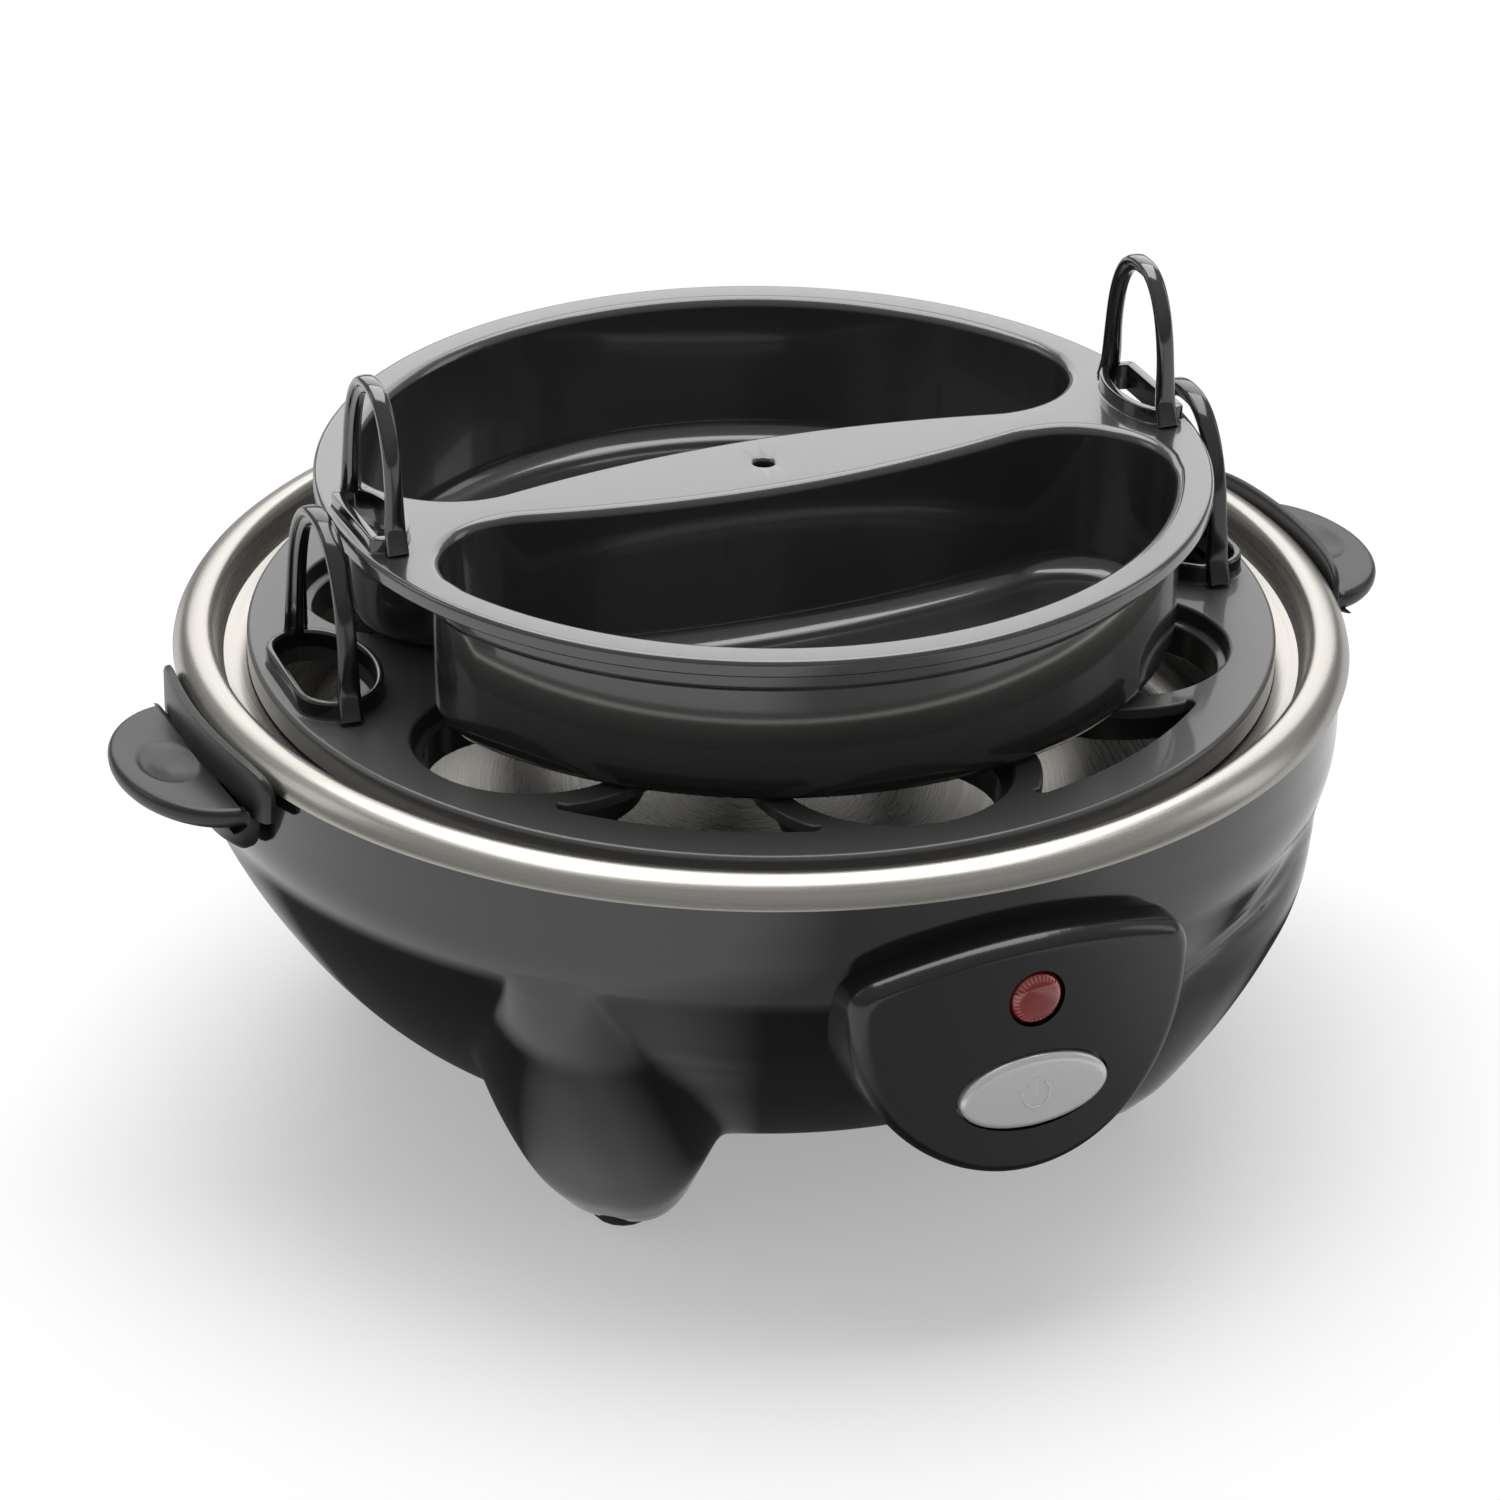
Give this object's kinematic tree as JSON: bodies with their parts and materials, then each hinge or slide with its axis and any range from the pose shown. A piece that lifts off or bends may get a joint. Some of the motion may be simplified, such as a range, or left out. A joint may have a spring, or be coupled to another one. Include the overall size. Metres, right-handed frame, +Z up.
{
  "type": "electric egg boiler",
  "caption": "Tabletop electric egg boiler: steel pan on a bowl-shaped black base with side handles, push button and lamp, carrying an egg tray and a poaching tray.",
  "frame": {"origin": "on the floor, on the axis of the heating pan, which is the centre of the base", "axes": "+X through the right side handle as seen from the front, +Y from the control panel to the cord gland, +Z up"},
  "size_m": [0.21, 0.1907, 0.1242],
  "materials": {
    "gloss_black_plastic": "glossy moulded polypropylene",
    "satin_black_plastic": "satin moulded polypropylene",
    "black_rubber": "matte",
    "stainless_steel": "spun and polished",
    "zinc_plated_steel": "zinc plated",
    "aluminium": "pressed",
    "silver_paint": "silver coated plastic",
    "red_lens": "clear red, polished",
    "white_ceramic": "glazed steatite",
    "lamp_glass": "clear",
    "black_nylon": "moulded nylon",
    "wire_sleeve": "heat-proof sleeve"
  },
  "bodies": {
    "base": {"base_housing": "gloss_black_plastic", "bottom_cover": "satin_black_plastic", "bottom_screw_1": "zinc_plated_steel", "bottom_screw_2": "zinc_plated_steel", "bottom_screw_3": "zinc_plated_steel", "bottom_screw_4": "zinc_plated_steel", "rubber_foot_1": "black_rubber", "rubber_foot_2": "black_rubber", "rubber_foot_3": "black_rubber", "rubber_foot_4": "black_rubber", "heating_pan": "stainless_steel", "heat_spreader": "aluminium", "heating_element": "stainless_steel", "pan_bracket_1": "zinc_plated_steel", "pan_bracket_2": "zinc_plated_steel", "pan_bracket_3": "zinc_plated_steel", "bracket_screw_1": "zinc_plated_steel", "bracket_screw_2": "zinc_plated_steel", "bracket_screw_3": "zinc_plated_steel", "thermostat": "black_nylon", "thermostat_bracket": "zinc_plated_steel", "thermal_fuse": "wire_sleeve", "fuse_clip": "zinc_plated_steel", "control_panel": "satin_black_plastic", "indicator_lens": "red_lens", "neon_lamp": "lamp_glass", "switch_body": "black_nylon", "button_spring": "stainless_steel", "side_handle_right": "satin_black_plastic", "side_handle_left": "satin_black_plastic", "handle_right_screw_1": "zinc_plated_steel", "handle_right_screw_2": "zinc_plated_steel", "handle_left_screw_1": "zinc_plated_steel", "handle_left_screw_2": "zinc_plated_steel", "cord_gland": "black_nylon", "terminal_block": "white_ceramic", "terminal_screw_1": "zinc_plated_steel", "terminal_screw_2": "zinc_plated_steel", "terminal_screw_3": "zinc_plated_steel", "lead_live": "wire_sleeve", "lead_switched": "wire_sleeve", "lead_neutral": "wire_sleeve"},
    "button": {"power_button": "silver_paint"},
    "egg_tray": {"egg_tray": "satin_black_plastic"},
    "poaching_tray": {"poaching_tray": "satin_black_plastic"}
  },
  "joints": [
    {"name": "button_press", "type": "slide", "parent": "base", "child": "button", "axis": [0, 1, 0], "range_m": [0, 0.002], "stiffness_N_per_m": 300, "springref_m": -0.002, "deforming": ["button_spring"]},
    {"name": "egg_tray_lift", "type": "slide", "parent": "base", "child": "egg_tray", "axis": [0, 0, 1], "range_m": [0, 0.04]},
    {"name": "poaching_tray_lift", "type": "slide", "parent": "egg_tray", "child": "poaching_tray", "axis": [0, 0, 1], "range_m": [0, 0.04]}
  ]
}
